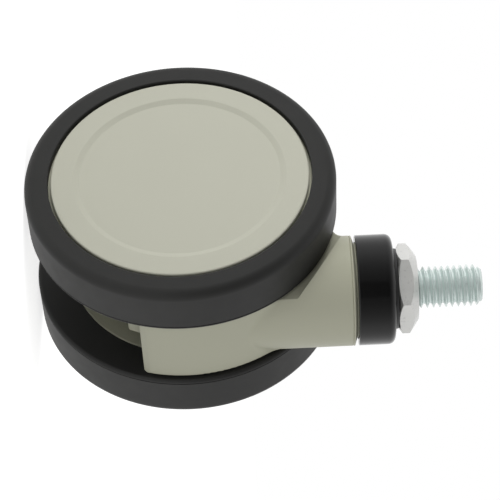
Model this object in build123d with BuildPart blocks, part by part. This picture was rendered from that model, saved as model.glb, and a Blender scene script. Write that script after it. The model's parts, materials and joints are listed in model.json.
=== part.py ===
"""Twin-wheel swivel castor with an M10 threaded stem, a lock nut and two 75 mm wheels.

Frame: +Z up along the swivel axis, origin on that axis at the top face of the lock nut.
The wheel axle is parallel to Y and trails the stem towards -X.  Millimetres throughout.
"""

import os
from math import cos, radians

from build123d import *

os.makedirs("parts", exist_ok=True)

# --- Wheels -----------------------------------------------------------------------------
wheel_d = 75.0              # over the tread
tyre_width = 12.7           # one tyre, side face to side face
wheel_gap = 20.0            # between the inner side faces of the two wheels
tread_shoulder_r = 2.2      # rounding between the tread and the outer side face
tread_inner_r = 0.9         # rounding between the tread and the inner side face
tread_thickness = 5.8       # rubber over the rim seat
tyre_lip_depth = 2.95       # the inner lip reaches this far below the rim seat
tyre_lip_width = 2.5
tyre_bore_edge_r = 0.3
lock_rib_depth = 1.3        # rib of the tyre that locks into the rim
lock_rib_width = 3.0
lock_rib_setback = 5.0      # from the inner side face of the wheel to the rib
parting_line_width = 0.24
parting_line_depth = 0.2

cap_gap = 0.64              # open ring between the cap and the tyre
cap_recess = 0.25           # the cap lies this far below the tyre's side face
cap_thickness = 1.6
cap_edge_r = 0.45
cap_border = 5.46           # flat border of the cap, outside the dish
cap_dish_slope = 1.4        # radial width of the step down to the dish
cap_dish_depth = 0.5
cap_lug_count = 6
cap_lug_length = 6.0
cap_lug_thickness = 1.2
cap_lug_depth = 1.5
cap_lug_play = 0.35
cap_stop_width = 1.4        # ring under the cap that keeps the bearing in its seat

rim_wall = 2.8
disc_thickness = 3.0        # closed inner side of the wheel centre
hub_wall = 2.5
rib_count = 15
rib_thickness = 1.6
rib_setback = 1.9           # the ribs end this far below the rim
disc_edge_r = 0.4
hub_relief_depth = 0.8
hub_relief_step = 1.4       # seat width left for the bearing's outer ring

# --- Wheel bearings and axle ------------------------------------------------------------
axle_d = 8.0
wheel_bearing_od = 22.0
wheel_bearing_width = 7.0
wheel_ball_count = 7
bearing_setback = 2.0       # from the inner side face of the wheel to the bearing
spacer_wall = 2.0
axle_hole_play = 1.0        # between a spacer and the hole in the wheel centre
clip_thickness = 0.8
clip_width = 2.2            # radial width of a retaining clip
clip_groove_depth = 0.55
clip_mouth = 2.6
clip_tip_r = 0.5
clip_play = 0.1
axle_tail = 0.5             # axle left beyond the clip's groove
shaft_chamfer = 0.4
spacer_chamfer = 0.2

# --- Stack on the stem, from the nut's top face down ------------------------------------
thread_d = 10.0             # M10
thread_length = 15.6        # free thread above the nut
thread_tip_length = 1.5
thread_tip_d = 7.6
thread_relief = 0.2         # the shank below the free thread is this much smaller in radius
nut_height = 4.8
nut_across_flats = 19.0
nut_turn = 31.2              # rest angle of the nut about the stem, degrees
nut_top_r = 7.8             # top face inside the corner chamfer
nut_top_chamfer = 2.2       # height of that chamfer at the corners
nut_foot_r = 9.3
nut_foot_chamfer = 0.85
nut_play = 0.06
nut_spigot_wall = 1.3       # turned-over spigot that keeps the washer on the nut
nut_spigot_play = 0.08
nut_spigot_height = 0.8
nut_bore_chamfer = 0.6
washer_d = 19.4
washer_thickness = 0.9
washer_edge = 0.15
collar_height = 8.85
collar_edge_r = 1.7
collar_top = 1.6            # wall above the stem's flange
collar_foot_r = 0.25
swivel_gap = 0.3            # between the collar and the neck ring
neck_ring_rim = 0.4
neck_ring_cone = 0.6
neck_wall = 3.8             # neck wall around the swivel bearing

# --- Swivel bearing and stem ------------------------------------------------------------
swivel_bearing_od = 19.0
swivel_bearing_width = 5.0
swivel_ball_count = 10
spigot_wall = 1.9           # housing spigot around the swivel bearing
spigot_play = 0.4           # between that spigot and the collar
spigot_cover = 0.5          # free height between the spigot and the flange
journal_d = 10.0
stem_shoulder = 1.2         # radial height of the shoulder on the inner ring
flange_thickness = 2.0
flange_width = 3.6          # radial, from the journal
tail_d = 8.0                # lower journal
bush_length = 8.0
bush_wall = 1.5
bush_flange_width = 1.5
bush_flange_thickness = 1.2
bush_play = 0.05
stem_bore_play = 1.0        # between the stem and the neck

# --- Housing ----------------------------------------------------------------------------
trail = 19.8                # axle behind the swivel axis
neck_lift = 2.35             # neck end above the top of the wheels
wheel_clearance = 2.1       # recess in the neck around each wheel
side_clearance = 0.6        # hood to wheel
hood_inset = 1.3            # hood surface below the tread
hood_wall = 2.6
hood_front_angle = -17.3    # lower front end of the hood, degrees above the axle's level
hood_rear_angle = 190.0     # rear end of the hood
hood_bevel_angle = 2.4
hood_bevel_depth = 0.4
hood_corner_r = 1.0
hood_edge_r = 0.4
web_thickness = 3.0
web_setback = 2.9           # rim of the web below the hood's inner face
web_drop = 14.0             # lower edge of the web below the axle
web_tip_r = 1.1
boss_wall = 4.0             # around the axle
socket_foot = 7.0           # lower end of the stem socket above the axle
rib_angles = (52.0, 152.0)  # stiffening ribs from the axle boss to the hood
housing_rib = 2.0
rib_inset = 0.6             # ribs end this far inside the hood's sides
foot_room = 1.2             # free height below the stem's end
seam_chamfer = 0.18
neck_blend_r = 3.0          # between the neck and the hood

press = 0.01                # radial gap of a pressed seat
ball_share = 0.57           # of the radial space between a bearing's bore and its outside
race_share = 0.3            # the same, for each ring
cage_share = 0.22
race_chamfer = 0.2
ball_play = 0.05
cage_lip = 0.7              # cage beyond the balls, each side

# --- Derived places ---------------------------------------------------------------------
wheel_r = wheel_d / 2
wheel_in = wheel_gap / 2                    # inner side face of a wheel, from mid-plane
wheel_out = wheel_in + tyre_width
cap_face = wheel_out - cap_recess
cap_back = cap_face - cap_thickness
tyre_bore_r = wheel_r - tread_thickness
tyre_lip_r = tyre_bore_r - tyre_lip_depth
cap_r = tyre_bore_r - cap_gap
cap_dish_r = cap_r - cap_border
rim_bore_r = tyre_bore_r - rim_wall
bearing_in = wheel_in + bearing_setback
bearing_out = bearing_in + wheel_bearing_width
hub_r = wheel_bearing_od / 2 + hub_wall
rib_ring_r = (hub_r + rim_bore_r) / 2

axle_r = axle_d / 2
hood_side = wheel_in - side_clearance
hood_r = wheel_r - hood_inset
hood_bore_r = hood_r - hood_wall
web_r = hood_bore_r - web_setback
boss_r = axle_r + boss_wall
spacer_r = axle_r + spacer_wall

thread_r = thread_d / 2
shank_r = thread_r - thread_relief
nut_bore_r = thread_r + nut_play
nut_spigot_r = nut_bore_r + nut_spigot_wall
nut_bottom = -nut_height
washer_bottom = nut_bottom - washer_thickness
collar_bottom = washer_bottom - collar_height
neck_ring_top = collar_bottom - swivel_gap
neck_end = neck_ring_top - neck_ring_cone - neck_ring_rim
neck_r = swivel_bearing_od / 2 + neck_wall
axle_x = -trail
axle_z = neck_end - neck_lift - wheel_r

journal_r = journal_d / 2
tail_r = tail_d / 2
flange_top = washer_bottom - collar_top
flange_bottom = flange_top - flange_thickness
spigot_top = flange_bottom - spigot_cover
spigot_r = swivel_bearing_od / 2 + spigot_wall
swivel_seat = spigot_top - swivel_bearing_width
socket_bottom = axle_z + socket_foot
bush_foot = socket_bottom - bush_flange_thickness
stem_clip_top = bush_foot - clip_play
stem_bottom = stem_clip_top - clip_thickness - axle_tail

swivel_axis = Axis((0, 0, 0), (0, 0, 1))
axle_axis = Axis((axle_x, 0, axle_z), (0, 1, 0))
stem_section = Plane.XZ
axle_side_view = Plane(origin=(axle_x, 0, axle_z), x_dir=(1, 0, 0), z_dir=(0, -1, 0))
sides = {"left": 1, "right": -1}


def write(piece, name):
    """Label a finished piece and write it as one STEP file."""
    piece.label = name
    export_step(piece, f"parts/{name}.step")


def wheel_section(side):
    """Half-section plane of a wheel: x runs outwards along the axle, y is the radius."""
    return Plane(origin=(axle_x, 0, axle_z), x_dir=(0, side, 0), z_dir=(side, 0, 0))


def wheel_face(side, distance):
    """Plane across the axle at a distance from mid-plane, facing outwards."""
    return Plane(origin=(axle_x, side * distance, axle_z), x_dir=(1, 0, 0), z_dir=(0, side, 0))


def ball_bearing(prefix, plane, bore_r, outer_r, width, count):
    """Write the two rings, the balls and the cage of a deep-groove bearing centred on a plane."""
    pitch_r = (bore_r + outer_r) / 2
    space = outer_r - bore_r
    ring = race_share * space
    ball_r = ball_share * space / 2
    cage_thickness = cage_share * space
    axis = Axis(plane.origin, plane.z_dir)
    section = Plane(origin=plane.origin, x_dir=plane.z_dir, z_dir=plane.z_dir.cross(plane.x_dir))
    ring_spans = {"inner_ring": (bore_r, bore_r + ring), "outer_ring": (outer_r - ring, outer_r)}
    for ring_name, (low_r, high_r) in ring_spans.items():
        seat_r = bore_r if ring_name == "inner_ring" else outer_r
        with BuildPart() as race:
            with BuildSketch(section) as race_profile:
                with Locations((0, (low_r + high_r) / 2)):
                    Rectangle(width, high_r - low_r)
                seat_corners = race_profile.vertices().filter_by(lambda v: abs(v.Y - seat_r) < press)
                chamfer(seat_corners, length=race_chamfer)
                with Locations((0, pitch_r)):
                    Circle(ball_r + ball_play, mode=Mode.SUBTRACT)
            revolve(axis=axis)
        write(race.part, f"{prefix}_{ring_name}")

    with BuildPart(plane) as balls:
        with PolarLocations(pitch_r, count):
            Sphere(ball_r)
    write(balls.part, f"{prefix}_balls")

    with BuildPart(plane) as cage:
        with BuildSketch(plane):
            Circle(pitch_r + cage_thickness / 2)
            Circle(pitch_r - cage_thickness / 2, mode=Mode.SUBTRACT)
        extrude(amount=ball_r + cage_lip, both=True)
        with PolarLocations(pitch_r, count):
            Cylinder(ball_r + ball_play, 2 * cage_thickness, rotation=(0, 90, 0), mode=Mode.SUBTRACT)
    write(cage.part, f"{prefix}_cage")


def retaining_clip(name, plane, shaft_r):
    """Write an open spring clip that sits in a groove of a shaft, above the given plane."""
    groove_r = shaft_r - clip_groove_depth + press
    with BuildPart() as clip:
        with BuildSketch(plane) as clip_profile:
            Circle(groove_r + clip_width)
            Circle(groove_r, mode=Mode.SUBTRACT)
            with Locations((groove_r + clip_width / 2, 0)):
                Rectangle(2 * clip_width, clip_mouth, mode=Mode.SUBTRACT)
            outer_tips = clip_profile.vertices().group_by(SortBy.DISTANCE)[-1]
            fillet(outer_tips, radius=clip_tip_r)
        extrude(amount=clip_thickness)
    write(clip.part, name)


# --- Housing: hood, web, neck and stem socket in one moulding ----------------------------
hood_front_bevel = hood_front_angle + hood_bevel_angle
hood_span = hood_rear_angle - hood_front_angle
bevelled_r = hood_r - hood_bevel_depth
hood_middle_r = hood_bore_r + hood_wall / 2

with BuildPart() as housing:
    with BuildSketch(Plane.XY.offset(axle_z)):
        Circle(neck_r)
    extrude(amount=neck_end - axle_z)
    with BuildSketch(axle_side_view):
        Circle(hood_middle_r)
    extrude(amount=wheel_r, both=True, mode=Mode.SUBTRACT)

    with BuildSketch(axle_side_view):
        with BuildLine():
            outside = CenterArc((0, 0), hood_r, hood_front_bevel, hood_span - 2 * hood_bevel_angle)
            inside = CenterArc((0, 0), hood_bore_r, hood_front_angle, hood_span)
            front_bevel = PolarLine((0, 0), bevelled_r, hood_front_angle, mode=Mode.PRIVATE) @ 1
            rear_bevel = PolarLine((0, 0), bevelled_r, hood_rear_angle, mode=Mode.PRIVATE) @ 1
            Polyline(outside @ 0, front_bevel, inside @ 0)
            Polyline(outside @ 1, rear_bevel, inside @ 1)
        make_face()
    extrude(amount=hood_side, both=True)

    with BuildSketch(axle_side_view) as web_profile:
        Circle(web_r)
        with Locations((0, -web_drop - wheel_r)):
            Rectangle(2 * wheel_r, 2 * wheel_r, mode=Mode.SUBTRACT)
        fillet(web_profile.vertices(), radius=web_tip_r)
        with BuildLine():
            web_rim = CenterArc((0, 0), hood_middle_r, hood_front_angle, hood_span)
            Polyline(web_rim @ 0, (0, 0), web_rim @ 1)
        make_face()
    extrude(amount=web_thickness / 2, both=True)

    with BuildSketch(axle_side_view):
        Circle(boss_r)
    extrude(amount=hood_side, both=True)

    with BuildSketch(Plane.XY.offset(socket_bottom)):
        Circle(hood_side)
    extrude(amount=neck_end - socket_bottom)

    for rib_angle in rib_angles:
        with BuildSketch(axle_side_view):
            with PolarLocations(hood_middle_r / 2, 1, start_angle=rib_angle):
                Rectangle(hood_middle_r, housing_rib)
        extrude(amount=hood_side - rib_inset, both=True)

    for side in sides.values():
        with BuildSketch(wheel_face(side, hood_side)):
            Circle(wheel_r + wheel_clearance)
        extrude(amount=neck_r, mode=Mode.SUBTRACT)

    neck_joins = housing.edges().filter_by(GeomType.BSPLINE).filter_by(
        lambda e: abs(e.center().X) > hood_side > abs(e.center().Y))
    fillet(neck_joins, radius=neck_blend_r)
    hood_edges = housing.edges().filter_by(GeomType.CIRCLE).filter_by(lambda e: abs(e.radius - hood_r) < press)
    fillet(hood_edges, radius=hood_edge_r)
    hood_corners = housing.edges().filter_by(GeomType.LINE).filter_by(
        lambda e: abs(e.length - (bevelled_r - hood_bore_r)) < press and abs(e.center().Y) > hood_side - press)
    fillet(hood_corners, radius=hood_corner_r)

    neck_rim = housing.edges().filter_by(GeomType.CIRCLE).filter_by_position(
        Axis.Z, neck_end - press, neck_end + press)
    chamfer(neck_rim, length=seam_chamfer)

    with BuildSketch(Plane.XY.offset(neck_end)):
        Circle(spigot_r)
    extrude(amount=spigot_top - neck_end)

    with BuildSketch(stem_section):
        with BuildLine():
            Polyline(
                (0, spigot_top),
                (swivel_bearing_od / 2 + press, spigot_top),
                (swivel_bearing_od / 2 + press, swivel_seat),
                (journal_r + stem_bore_play, swivel_seat),
                (journal_r + stem_bore_play, socket_bottom + bush_length),
                (tail_r + bush_play + bush_wall + press, socket_bottom + bush_length),
                (tail_r + bush_play + bush_wall + press, socket_bottom),
                (0, socket_bottom),
                close=True,
            )
        make_face()
    revolve(axis=swivel_axis, mode=Mode.SUBTRACT)

    with BuildSketch(Plane.XY.offset(socket_bottom)):
        Circle(hood_side - rib_inset)
    extrude(amount=stem_bottom - foot_room - socket_bottom, mode=Mode.SUBTRACT)

    with BuildSketch(axle_side_view):
        Circle(axle_r + press)
    extrude(amount=wheel_gap, both=True, mode=Mode.SUBTRACT)

write(housing.part, "housing")

# --- Neck ring: cone-topped trim around the spigot ----------------------------------------
with BuildPart() as neck_ring:
    with BuildSketch(stem_section):
        with BuildLine():
            Polyline(
                (spigot_r + press, neck_end),
                (neck_r - seam_chamfer, neck_end),
                (neck_r, neck_end + seam_chamfer),
                (neck_r, neck_end + neck_ring_rim),
                (spigot_r + press, neck_ring_top),
                close=True,
            )
        make_face()
    revolve(axis=swivel_axis)
write(neck_ring.part, "neck_ring")

# --- Stem: threaded end, shank, flange and two journals -----------------------------------
with BuildPart() as threaded_stem:
    with BuildSketch(stem_section):
        with BuildLine():
            Polyline(
                (0, thread_length),
                (thread_tip_d / 2, thread_length),
                (thread_r, thread_length - thread_tip_length),
                (thread_r, 0),
                (shank_r, 0),
                (shank_r, flange_top),
                (journal_r + flange_width, flange_top),
                (journal_r + flange_width, flange_bottom),
                (journal_r + stem_shoulder, flange_bottom),
                (journal_r + stem_shoulder, spigot_top),
                (journal_r, spigot_top),
                (journal_r, socket_bottom + bush_length + stem_bore_play),
                (tail_r, socket_bottom + bush_length),
                (tail_r, stem_clip_top),
                (tail_r - clip_groove_depth, stem_clip_top),
                (tail_r - clip_groove_depth, stem_clip_top - clip_thickness),
                (tail_r, stem_clip_top - clip_thickness),
                (tail_r, stem_bottom + shaft_chamfer),
                (tail_r - shaft_chamfer, stem_bottom),
                (0, stem_bottom),
                close=True,
            )
        make_face()
    revolve(axis=swivel_axis)
write(threaded_stem.part, "threaded_stem")

# --- Collar: dust cover over the swivel bearing -------------------------------------------
with BuildPart() as collar:
    with BuildSketch(stem_section) as collar_profile:
        with BuildLine():
            Polyline(
                (shank_r + press, washer_bottom),
                (neck_r, washer_bottom),
                (neck_r, collar_bottom),
                (spigot_r + spigot_play, collar_bottom),
                (spigot_r + spigot_play, flange_bottom),
                (journal_r + flange_width + press, flange_bottom),
                (journal_r + flange_width + press, flange_top),
                (shank_r + press, flange_top),
                close=True,
            )
        make_face()
        fillet(collar_profile.vertices().sort_by_distance((neck_r, washer_bottom))[0], radius=collar_edge_r)
        fillet(collar_profile.vertices().sort_by_distance((neck_r, collar_bottom))[0], radius=collar_foot_r)
    revolve(axis=swivel_axis)
write(collar.part, "collar")

# --- Washer and lock nut ------------------------------------------------------------------
with BuildPart() as stem_washer:
    with BuildSketch(Plane.XY.offset(washer_bottom)):
        Circle(washer_d / 2)
        Circle(nut_spigot_r + nut_spigot_play, mode=Mode.SUBTRACT)
    extrude(amount=washer_thickness)
    chamfer(stem_washer.edges().filter_by(GeomType.CIRCLE).group_by(SortBy.RADIUS)[-1], length=washer_edge)
write(stem_washer.part, "stem_washer")

nut_corner_r = nut_across_flats / 2 / cos(radians(30))
with BuildPart() as lock_nut:
    with BuildSketch(Plane.XY.offset(nut_bottom)):
        RegularPolygon(nut_across_flats / 2, side_count=6, major_radius=False, rotation=nut_turn)
    extrude(amount=nut_height)
    with BuildSketch(stem_section):
        with BuildLine():
            Polyline(
                (0, 0),
                (nut_top_r, 0),
                (nut_corner_r, -nut_top_chamfer),
                (nut_corner_r, nut_bottom + nut_foot_chamfer),
                (nut_foot_r, nut_bottom),
                (0, nut_bottom),
                close=True,
            )
        make_face()
    revolve(axis=swivel_axis, mode=Mode.INTERSECT)
    with BuildSketch(Plane.XY.offset(nut_bottom)):
        Circle(nut_spigot_r)
    extrude(amount=-nut_spigot_height)
    with BuildSketch(Plane.XY):
        Circle(nut_bore_r)
    extrude(amount=-nut_height - washer_thickness, mode=Mode.SUBTRACT)
    bore_rims = lock_nut.edges().filter_by(GeomType.CIRCLE).group_by(SortBy.RADIUS)[0]
    chamfer(bore_rims.sort_by(Axis.Z)[-1], length=nut_bore_chamfer)
write(lock_nut.part, "lock_nut")

# --- Swivel bearing, lower bush and stem clip ---------------------------------------------
swivel_plane = Plane.XY.offset(swivel_seat + swivel_bearing_width / 2)
ball_bearing("swivel", swivel_plane, journal_r + press, swivel_bearing_od / 2, swivel_bearing_width,
             swivel_ball_count)

with BuildPart() as lower_bush:
    with BuildSketch(stem_section):
        with BuildLine():
            Polyline(
                (tail_r + bush_play, bush_foot),
                (tail_r + bush_play + bush_wall + bush_flange_width, bush_foot),
                (tail_r + bush_play + bush_wall + bush_flange_width, socket_bottom),
                (tail_r + bush_play + bush_wall, socket_bottom),
                (tail_r + bush_play + bush_wall, socket_bottom + bush_length),
                (tail_r + bush_play, socket_bottom + bush_length),
                close=True,
            )
        make_face()
    revolve(axis=swivel_axis)
write(lower_bush.part, "lower_bush")

retaining_clip("stem_clip", Plane.XY.offset(stem_clip_top - clip_thickness), tail_r)

# --- Axle ---------------------------------------------------------------------------------
axle_clip_in = bearing_out
axle_end = axle_clip_in + clip_thickness + axle_tail
with BuildPart() as axle:
    with BuildSketch(axle_side_view):
        Circle(axle_r)
    extrude(amount=axle_end, both=True)
    chamfer(axle.edges().filter_by(GeomType.CIRCLE), length=shaft_chamfer)
    for side in sides.values():
        with BuildSketch(wheel_face(side, axle_clip_in)):
            Circle(axle_r)
            Circle(axle_r - clip_groove_depth, mode=Mode.SUBTRACT)
        extrude(amount=clip_thickness, mode=Mode.SUBTRACT)
write(axle.part, "axle")

# --- One wheel on each side of the housing ------------------------------------------------
rib_start = wheel_in + disc_thickness
lock_groove_r = tyre_bore_r - lock_rib_depth
rim_r = tyre_bore_r - press
rim_groove_r = lock_groove_r - press
disc_r = tyre_lip_r - press
lock_rib_in = wheel_in + lock_rib_setback
lip_seat = wheel_in + tyre_lip_width

for hand, side in sides.items():
    with BuildPart() as tyre:
        with BuildSketch(wheel_section(side)) as tyre_profile:
            with BuildLine():
                Polyline(
                    (wheel_in, tyre_lip_r),
                    (wheel_in, wheel_r),
                    (wheel_out, wheel_r),
                    (wheel_out, tyre_bore_r),
                    (lock_rib_in + lock_rib_width, tyre_bore_r),
                    (lock_rib_in + lock_rib_width, lock_groove_r),
                    (lock_rib_in, lock_groove_r),
                    (lock_rib_in, tyre_bore_r),
                    (lip_seat, tyre_bore_r),
                    (lip_seat, tyre_lip_r),
                    close=True,
                )
            make_face()
            corners = tyre_profile.vertices()
            fillet(corners.sort_by_distance((wheel_out, wheel_r))[0], radius=tread_shoulder_r)
            fillet(corners.sort_by_distance((wheel_in, wheel_r))[0], radius=tread_inner_r)
            fillet(corners.sort_by_distance((wheel_out, tyre_bore_r))[0], radius=tyre_bore_edge_r)
            with Locations((wheel_in + tread_inner_r + parting_line_width / 2, wheel_r)):
                Rectangle(parting_line_width, 2 * parting_line_depth, mode=Mode.SUBTRACT)
        revolve(axis=axle_axis)
    write(tyre.part, f"tyre_{hand}")

    with BuildPart() as wheel_centre:
        with BuildSketch(wheel_section(side)) as rim_profile:
            with BuildLine():
                Polyline(
                    (wheel_in, spacer_r + axle_hole_play),
                    (wheel_in, disc_r),
                    (lip_seat, disc_r),
                    (lip_seat, rim_r),
                    (lock_rib_in, rim_r),
                    (lock_rib_in, rim_groove_r),
                    (lock_rib_in + lock_rib_width, rim_groove_r),
                    (lock_rib_in + lock_rib_width, rim_r),
                    (cap_back, rim_r),
                    (cap_back, rim_bore_r),
                    (rib_start, rim_bore_r),
                    (rib_start, hub_r),
                    (bearing_out, hub_r),
                    (bearing_out, wheel_bearing_od / 2 + press),
                    (bearing_in, wheel_bearing_od / 2 + press),
                    (bearing_in, wheel_bearing_od / 2 - hub_relief_step),
                    (bearing_in - hub_relief_depth, wheel_bearing_od / 2 - hub_relief_step),
                    (bearing_in - hub_relief_depth, spacer_r + axle_hole_play),
                    close=True,
                )
            make_face()
            fillet(rim_profile.vertices().sort_by_distance((wheel_in, disc_r))[0], radius=disc_edge_r)
        revolve(axis=axle_axis)
        with BuildSketch(wheel_face(side, rib_start)):
            with PolarLocations(rib_ring_r, rib_count):
                Rectangle(rim_bore_r - hub_r + rib_thickness, rib_thickness)
            Circle(rib_ring_r + rib_thickness / 2)
            Circle(rib_ring_r - rib_thickness / 2, mode=Mode.SUBTRACT)
        extrude(amount=cap_back - rib_setback - rib_start)
    write(wheel_centre.part, f"wheel_centre_{hand}")

    with BuildPart() as wheel_cap:
        with BuildSketch(wheel_section(side)) as cap_profile:
            with BuildLine():
                Polyline(
                    (cap_back, 0),
                    (cap_back, cap_r),
                    (cap_face, cap_r),
                    (cap_face, cap_dish_r),
                    (cap_face - cap_dish_depth, cap_dish_r - cap_dish_slope),
                    (cap_face - cap_dish_depth, 0),
                    close=True,
                )
            make_face()
            fillet(cap_profile.vertices().sort_by_distance((cap_face, cap_r))[0], radius=cap_edge_r)
        revolve(axis=axle_axis)
        with BuildSketch(wheel_face(side, bearing_out)):
            Circle(wheel_bearing_od / 2 - press)
            Circle(wheel_bearing_od / 2 - cap_stop_width, mode=Mode.SUBTRACT)
        extrude(amount=cap_back - bearing_out)
        lug_r = rim_bore_r - cap_lug_play
        with BuildSketch(wheel_face(side, cap_back)):
            Circle(lug_r)
            Circle(lug_r - cap_lug_thickness, mode=Mode.SUBTRACT)
            with PolarLocations(0, cap_lug_count):
                with Locations((lug_r / 2, 0)):
                    Rectangle(lug_r, cap_lug_length, mode=Mode.SUBTRACT)
        extrude(amount=-cap_lug_depth)
    write(wheel_cap.part, f"wheel_cap_{hand}")

    with BuildPart() as axle_spacer:
        with BuildSketch(wheel_face(side, hood_side)):
            Circle(spacer_r)
            Circle(axle_r + press, mode=Mode.SUBTRACT)
        extrude(amount=bearing_in - hood_side)
        chamfer(axle_spacer.edges().filter_by(GeomType.CIRCLE).group_by(SortBy.RADIUS)[-1], length=spacer_chamfer)
    write(axle_spacer.part, f"axle_spacer_{hand}")

    bearing_middle = (bearing_in + bearing_out) / 2
    ball_bearing(f"wheel_bearing_{hand}", wheel_face(side, bearing_middle), axle_r + press,
                 wheel_bearing_od / 2, wheel_bearing_width, wheel_ball_count)
    retaining_clip(f"axle_clip_{hand}", wheel_face(side, axle_clip_in), axle_r)
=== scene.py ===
"""Looks of a twin-wheel stem castor: turned wheels, moulded housing, plated stem and a plain studio.

Units are metres in the row frame: +Z up along the swivel axis, origin at the top face of the
lock nut, wheel axle parallel to Y.  Sizes in the classes are millimetres.
"""

from __future__ import annotations

import json
import logging
import math
from collections.abc import Sequence
from dataclasses import dataclass
from enum import StrEnum

import bmesh
import bpy
from mathutils import Matrix, Quaternion, Vector

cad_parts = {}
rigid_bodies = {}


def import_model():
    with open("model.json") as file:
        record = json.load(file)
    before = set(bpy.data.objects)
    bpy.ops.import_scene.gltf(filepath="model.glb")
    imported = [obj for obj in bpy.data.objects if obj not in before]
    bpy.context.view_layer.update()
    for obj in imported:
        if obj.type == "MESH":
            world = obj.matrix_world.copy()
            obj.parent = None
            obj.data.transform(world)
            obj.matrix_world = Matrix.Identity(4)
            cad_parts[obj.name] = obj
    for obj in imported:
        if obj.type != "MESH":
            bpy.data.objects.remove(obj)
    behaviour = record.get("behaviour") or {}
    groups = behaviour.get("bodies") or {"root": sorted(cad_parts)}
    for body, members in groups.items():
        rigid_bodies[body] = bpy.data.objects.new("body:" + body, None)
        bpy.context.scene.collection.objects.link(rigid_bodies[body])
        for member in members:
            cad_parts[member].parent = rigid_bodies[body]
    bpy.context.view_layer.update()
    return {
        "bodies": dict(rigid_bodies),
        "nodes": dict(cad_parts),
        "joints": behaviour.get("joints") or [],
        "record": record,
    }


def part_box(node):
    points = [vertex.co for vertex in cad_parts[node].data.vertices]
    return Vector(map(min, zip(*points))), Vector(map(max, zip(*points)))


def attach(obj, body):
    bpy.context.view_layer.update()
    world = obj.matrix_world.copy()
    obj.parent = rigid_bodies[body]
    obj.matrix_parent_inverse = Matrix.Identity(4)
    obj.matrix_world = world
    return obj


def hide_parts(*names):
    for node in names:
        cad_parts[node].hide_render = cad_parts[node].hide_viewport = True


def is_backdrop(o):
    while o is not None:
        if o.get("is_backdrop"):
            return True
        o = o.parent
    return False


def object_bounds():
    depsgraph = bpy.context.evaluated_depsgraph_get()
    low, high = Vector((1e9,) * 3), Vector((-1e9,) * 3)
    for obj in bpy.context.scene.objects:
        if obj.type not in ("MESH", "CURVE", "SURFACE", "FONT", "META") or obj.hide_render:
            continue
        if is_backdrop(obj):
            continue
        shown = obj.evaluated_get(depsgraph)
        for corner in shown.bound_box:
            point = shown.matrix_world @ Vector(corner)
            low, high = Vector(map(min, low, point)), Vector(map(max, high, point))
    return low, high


log = logging.getLogger("castor")

MM = 0.001
FLOAT, COUNT, VECTOR = "NodeSocketFloat", "NodeSocketInt", "NodeSocketVector"
COLOUR, MATERIAL = "NodeSocketColor", "NodeSocketMaterial"


# --- Node trees ---------------------------------------------------------------------------


class Graph:
    """Adds nodes to one node tree and joins their sockets."""

    def __init__(self, tree: bpy.types.NodeTree) -> None:
        """Starts on a tree.

        Args:
            tree: The node tree to fill.
        """
        self.tree = tree

    def add(self, kind: str, **settings: object) -> bpy.types.Node:
        """Adds a node.

        Args:
            kind: The node's Blender type name.
            **settings: Properties of the node.

        Returns:
            The new node.
        """
        node = self.tree.nodes.new(kind)
        for name, value in settings.items():
            setattr(node, name, value)
        return node

    def feed(self, socket: bpy.types.NodeSocket, value: object) -> None:
        """Links another socket to this one, or sets its value.

        Args:
            socket: The input socket.
            value: An output socket, or a plain value.
        """
        if isinstance(value, bpy.types.NodeSocket):
            self.tree.links.new(value, socket)
        else:
            socket.default_value = value

    def math(self, operation: str, *values: object, clamp: bool = False) -> bpy.types.NodeSocket:
        """Adds a Math node.

        Args:
            operation: The Math node's operation.
            *values: Sockets or numbers for its inputs, in order.
            clamp: Keeps the result between 0 and 1.

        Returns:
            The result.
        """
        node = self.add("ShaderNodeMath", operation=operation, use_clamp=clamp)
        for socket, value in zip(node.inputs, values):
            self.feed(socket, value)
        return node.outputs[0]

    def ramp(self, value: object, low: object, high: object, to_low: object = 0.0, to_high: object = 1.0,
             interpolation: str = "LINEAR") -> bpy.types.NodeSocket:
        """Maps a value from one range to another and clamps it there.

        Args:
            value: The socket or number to map.
            low: Start of the range it comes from.
            high: End of the range it comes from.
            to_low: Start of the range it goes to.
            to_high: End of the range it goes to.
            interpolation: LINEAR, SMOOTHSTEP or SMOOTHERSTEP.

        Returns:
            The mapped value.
        """
        node = self.add("ShaderNodeMapRange", interpolation_type=interpolation)
        for name, number in (("Value", value), ("From Min", low), ("From Max", high),
                             ("To Min", to_low), ("To Max", to_high)):
            self.feed(node.inputs[name], number)
        return node.outputs["Result"]

    def noise(self, vector: object, scale: object, detail: float = 2.0,
              roughness: float = 0.5) -> bpy.types.NodeSocket:
        """Adds a Noise texture.

        Args:
            vector: The coordinates.
            scale: Waves per metre, roughly.
            detail: Number of finer octaves.
            roughness: Strength of the finer octaves.

        Returns:
            The noise, about 0.5 on average.
        """
        node = self.add("ShaderNodeTexNoise", noise_dimensions="3D")
        self.feed(node.inputs["Vector"], vector)
        self.feed(node.inputs["Scale"], scale)
        node.inputs["Detail"].default_value = detail
        node.inputs["Roughness"].default_value = roughness
        return node.outputs["Fac"]


def shader_group(name: str, inputs: Sequence[tuple[str, str, object]],
                 outputs: Sequence[tuple[str, str]]) -> tuple[Graph, dict, dict]:
    """Makes an empty shader node group with its sockets.

    Args:
        name: The group's name.
        inputs: Name, socket type and default of each input.
        outputs: Name and socket type of each output.

    Returns:
        The graph inside, its input sockets by name and its output sockets by name.
    """
    tree = bpy.data.node_groups.new(name, "ShaderNodeTree")
    for label, kind, default in inputs:
        socket = tree.interface.new_socket(label, in_out="INPUT", socket_type=kind)
        if default is not None:
            socket.default_value = default
    for label, kind in outputs:
        tree.interface.new_socket(label, in_out="OUTPUT", socket_type=kind)
    graph = Graph(tree)
    given = graph.add("NodeGroupInput").outputs
    made = graph.add("NodeGroupOutput").inputs
    return (graph, {label: given[label] for label, _, _ in inputs},
            {label: made[label] for label, _ in outputs})


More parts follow.
